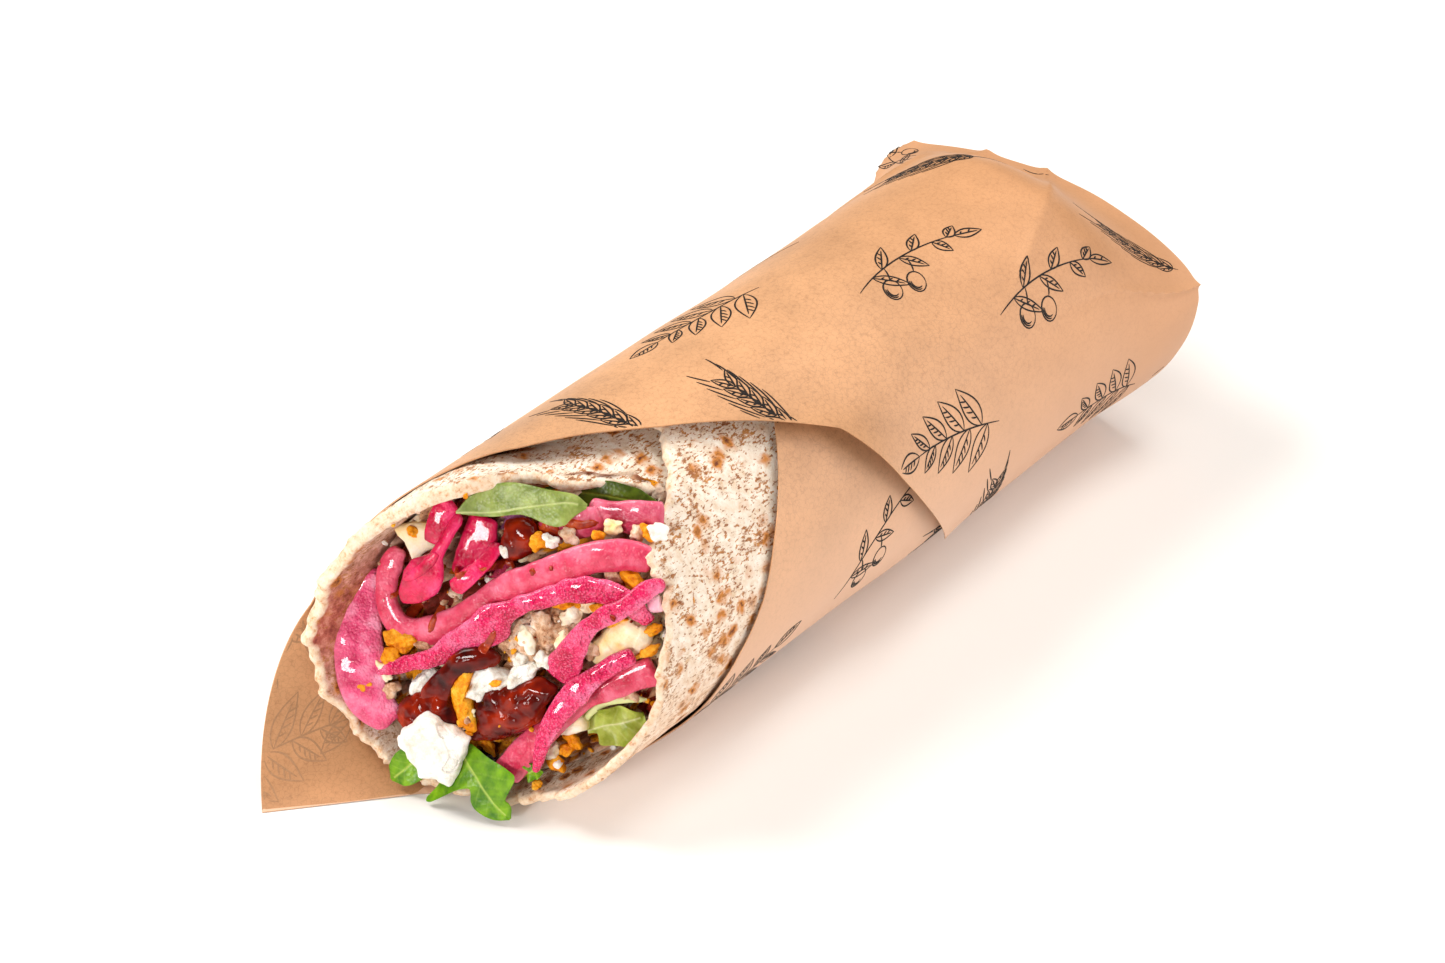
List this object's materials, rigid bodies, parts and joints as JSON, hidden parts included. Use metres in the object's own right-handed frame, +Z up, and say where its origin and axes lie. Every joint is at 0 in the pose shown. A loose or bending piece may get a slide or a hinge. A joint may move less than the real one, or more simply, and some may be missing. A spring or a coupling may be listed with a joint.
{
  "type": "falafel wrap",
  "caption": "Falafel wrap lying on its side: a toasted flatbread rolled round falafel, pickled onion, cheese and leaves, in a sheet of brown paper open at a slanted mouth.",
  "frame": {"origin": "centre of the bounding box in X and Y, on the surface that the wrap lies on", "axes": "+X along the roll from the open mouth to the folded end, +Z up, +Y to the left seen from the mouth"},
  "size_m": [0.2314, 0.088, 0.0686],
  "materials": {
    "kraft_paper": "matt brown wrapping paper",
    "flatbread": "dry baked flatbread, matt with toasted flecks",
    "falafel_filling": "crumbled falafel and egg, rough and slightly moist",
    "pickled_onion": "wet pickled red onion, glossy",
    "pickled_onion_dark": "wet pickled red onion, glossy",
    "pickled_onion_pale": "wet pickled red onion, glossy",
    "green_leaf": "fresh leaf, satin",
    "pale_leaf": "fresh leaf, satin",
    "feta": "crumbly white cheese",
    "red_sauce": "thick glossy sauce",
    "fried_crust": "crisp fried crust",
    "boiled_egg": "soft, slightly moist",
    "olive": "glossy dark skin"
  },
  "bodies": {
    "root": {"paper_wrapper": "kraft_paper", "flatbread": "flatbread", "filling_core": "falafel_filling", "feta_chunk": "feta", "rocket_leaf": "green_leaf", "rocket_side_leaf": "green_leaf", "onion_textured": "pickled_onion", "onion_fork": "pickled_onion", "onion_wavy": "pickled_onion", "onion_thin_streak": "pickled_onion_dark", "onion_hot_ribbon": "pickled_onion_dark", "onion_big_ring": "pickled_onion_pale", "onion_lower_band": "pickled_onion_pale", "onion_left_slab": "pickled_onion", "sauce_left": "red_sauce", "sauce_middle": "red_sauce", "sauce_arch": "red_sauce", "sauce_top": "red_sauce", "crust_wedge": "fried_crust", "feta_piece_a": "feta", "feta_piece_b": "feta", "feta_piece_c": "feta", "falafel_piece": "falafel_filling", "egg_piece_right": "boiled_egg", "egg_piece_low": "boiled_egg", "egg_piece_top": "boiled_egg", "onion_deep_slab": "pickled_onion", "onion_top_slice": "pickled_onion", "onion_top_right": "pickled_onion_pale", "leaf_light": "pale_leaf", "leaf_dark": "green_leaf", "leaf_curled": "pale_leaf", "olive_piece": "olive"}
  },
  "joints": []
}
